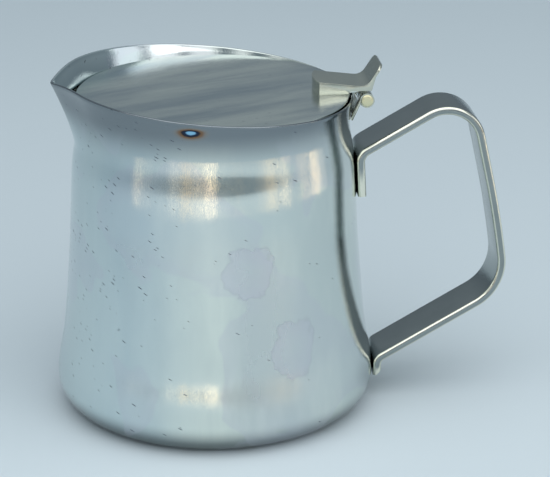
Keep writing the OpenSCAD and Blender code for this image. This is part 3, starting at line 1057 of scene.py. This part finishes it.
def makeLever():
    # the thumb plate's end gets round corners: slices across it, drawn back along the plate
    piece = mergedCopy("thumb_lever", "thumbLever", smallSteel)
    low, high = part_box("thumb_lever")
    half = high.y
    plateEnd = high.z - thumb["tipDepth"]
    r = thumb["cornerRound"]
    work = bmesh.new()
    work.from_mesh(piece.data)
    for k in range(thumb["steps"]):
        y = half - r + r * math.sin(math.pi / 2 * k / thumb["steps"])
        for side in (-1, 1):
            everything = work.verts[:] + work.edges[:] + work.faces[:]
            bmesh.ops.bisect_plane(work, geom=everything, plane_co=(0, side * y, 0), plane_no=(0, 1, 0))
    ends = sorted({(round(v.co.x, 6), round(v.co.z, 6)) for v in work.verts if v.co.z > plateEnd})
    inner, outer = ends[0], ends[-1]
    across = Vector((outer[0] - inner[0], 0, outer[1] - inner[1])).normalized()
    along = Vector((-across.z, 0, across.x))
    # the blunt end lies a little further over the lid
    for vert in work.verts:
        if vert.co.x < low.x + thumb["bluntEnd"]:
            vert.co.x -= thumb["bluntReach"]
    for vert in work.verts:
        past = abs(vert.co.y) - (half - r)
        if vert.co.z > plateEnd and past > 0:
            vert.co -= along * (r - math.sqrt(max(0.0, r ** 2 - past ** 2)))
    work.to_mesh(piece.data)
    work.free()
    return softenEdges(piece, thumb["edge"])


lever = makeLever()
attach(lever, "lid")
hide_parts("thumb_lever")

leaf = softenEdges(mergedCopy("hinge_leaf", "hingeLeaf", smallSteel), **leafEdge)
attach(leaf, "jug")
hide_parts("hinge_leaf")

for side in ("front", "back"):
    rest = mergedCopy("lid_rest_" + side, "lidRest" + side.capitalize(), satinSteel)
    softenEdges(rest, **restEdge)
    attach(rest, "jug")
    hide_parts("lid_rest_" + side)

pin = {
    "radius": 0.0016,
    "length": 0.017,
    "headRadius": 0.0021,
    "headHeight": 0.00045,
    "headGap": 0.00002,
    "headFullness": 0.6,
    "headSteps": 7,
    "columns": 64,
}


def makePin():
    # a shank with a low, peened head outside each eye
    half = pin["length"] / 2
    seat = max(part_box("hinge_leaf")[1].y, half - pin["headHeight"]) + pin["headGap"]
    right = [(pin["radius"], 0.0), (pin["radius"], seat), (pin["headRadius"], seat)]
    for i in range(1, pin["headSteps"]):
        t = math.pi / 2 * i / pin["headSteps"]
        radius = pin["headRadius"] * math.cos(t) ** pin["headFullness"]
        right.append((radius, seat + (half - seat) * math.sin(t)))
    right.append((0.0, half))
    left = [(radius, -y) for radius, y in reversed(right[1:])]
    mesh = spunMesh("hingePin", left + right, pin["columns"], centre=(pinX, pinY, pinZ), along="Y")
    return addPiece("hingePin", mesh, pinMetal)


hingePin = makePin()
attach(hingePin, "jug")
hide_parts("hinge_pin")
print("hinge made")


# floor, light and camera

studio = {
    "floorColour": (0.68, 0.76, 0.80),
    "floorHalf": 3.0,
    "floorRoughness": 0.9,
    "horizon": (0.16, 0.20, 0.23),
    "zenith": (0.42, 0.48, 0.52),
    "zenithAt": 0.9,
    "panelRing": 1.35,
    "panelHeight": 0.44,
    "panelTall": 0.62,
    "panelAim": (0, 0, 0.1),
    "panels": [
        (-18, 0.66, 0.90),
        (-52, 0.66, 0.95),
        (-86, 0.60, 0.80),
        (-120, 0.34, 0.6),
        (-152, 0.40, 0.45),
    ],
    "strips": 17,
    "stripRing": 0.42,
    "stripFrom": math.radians(-158),
    "stripTo": math.radians(2),
    "stripHeight": 0.11,
    "stripShine": 1.1,
    "stripSeed": 11,
    "stripPlace": (0.3, 0.7),
    "stripWidths": (0.10, 0.45),
    "stripHeights": (0.75, 1.2),
    "stripWarmth": (0.20, 0.60),
    "stripShines": (0.3, 0.7, 1.1, 1.6),
    "keyPlace": (0.02, -0.42, 0.80),
    "keyAim": (0, 0, 0.06),
    "keySize": (1.6, 1.25),
    "keyPower": 6.9,
}


def makeFloor():
    half = studio["floorHalf"]
    corners = [(-half, -half, 0), (half, -half, 0), (half, half, 0), (-half, half, 0)]
    mesh = bpy.data.meshes.new("floor")
    mesh.from_pydata(corners, [], [(0, 1, 2, 3)])
    material = bpy.data.materials.new("pale floor")
    material.use_nodes = True
    shader = material.node_tree.nodes["Principled BSDF"]
    shader.inputs["Base Color"].default_value = (*studio["floorColour"], 1)
    shader.inputs["Roughness"].default_value = studio["floorRoughness"]
    shader.inputs["Specular IOR Level"].default_value = 0.0
    floor = addPiece("floor", mesh, material)


def makeLight(name, place, target, size, power, colour=(1, 1, 1)):
    light = bpy.data.lights.new(name, "AREA")
    light.shape = "RECTANGLE"
    light.size, light.size_y = size
    light.energy = power
    light.color = colour
    lamp = bpy.data.objects.new(name, light)
    lamp.location = place
    lamp.rotation_euler = (Vector(target) - Vector(place)).to_track_quat("-Z", "Y").to_euler()
    lamp.visible_camera = False
    bpy.context.scene.collection.objects.link(lamp)
    return lamp


def makeWorld():
    world = bpy.data.worlds.new("studio")
    world.use_nodes = True
    bpy.context.scene.world = world
    tree = world.node_tree
    back = tree.nodes["Background"]
    coords = tree.nodes.new("ShaderNodeTexCoord")
    up = splitParts(tree, coords.outputs["Generated"])["Z"]
    sky = ramp(tree, up, [(0.0, studio["horizon"]), (studio["zenithAt"], studio["zenith"])], blend="LINEAR")
    tree.links.new(sky, back.inputs["Color"])


def makePanels():
    # tall soft boxes in a half ring before the jug, each with its direction, width and radiance
    ring = studio["panelRing"]
    tall = studio["panelTall"]
    for degrees, width, shine in studio["panels"]:
        a = math.radians(degrees)
        place = (ring * math.cos(a), ring * math.sin(a), studio["panelHeight"])
        makeLight("panel", place, studio["panelAim"], (width, tall), shine * math.pi * width * tall)


def makeStrips():
    # low strip lights of mixed width and colour, mirrored as narrow bands under the neck
    chance = random.Random(studio["stripSeed"])
    ring = studio["stripRing"]
    step = (studio["stripTo"] - studio["stripFrom"]) / studio["strips"]
    for i in range(studio["strips"]):
        a = studio["stripFrom"] + step * (i + chance.uniform(*studio["stripPlace"]))
        width = ring * step * chance.uniform(*studio["stripWidths"])
        height = studio["stripHeight"] * chance.uniform(*studio["stripHeights"])
        warmth = chance.uniform(*studio["stripWarmth"])
        shine = studio["stripShine"] * chance.choice(studio["stripShines"])
        place = (ring * math.cos(a), ring * math.sin(a), height / 2)
        power = shine * math.pi * width * height
        colour = (1, 0.5 + warmth / 2, warmth)
        strip = makeLight("strip", place, (0, 0, height / 2), (width, height), power, colour)
        strip.visible_diffuse = False


view = {
    "place": (-0.0601, -0.7636, 0.3435),
    "heading": 0.1065,
    "pitch": 0.3555,
    "focalPixels": 2320,
    "frameWidth": 550,
    "sensorWidth": 36,
    "clipStart": 0.05,
}


def makeCamera():
    camera = bpy.data.cameras.new("camera")
    camera.sensor_fit = "HORIZONTAL"
    camera.sensor_width = view["sensorWidth"]
    camera.lens = view["focalPixels"] / view["frameWidth"] * camera.sensor_width
    camera.clip_start = view["clipStart"]
    holder = bpy.data.objects.new("camera", camera)
    holder.location = view["place"]
    holder.rotation_euler = (math.pi / 2 - view["pitch"], 0, -view["heading"])
    bpy.context.scene.collection.objects.link(holder)
    bpy.context.scene.camera = holder


makeFloor()
makeLight("key", studio["keyPlace"], studio["keyAim"], studio["keySize"], studio["keyPower"])
makePanels()
makeStrips()
makeWorld()
makeCamera()
bpy.context.scene.view_settings.view_transform = "Standard"
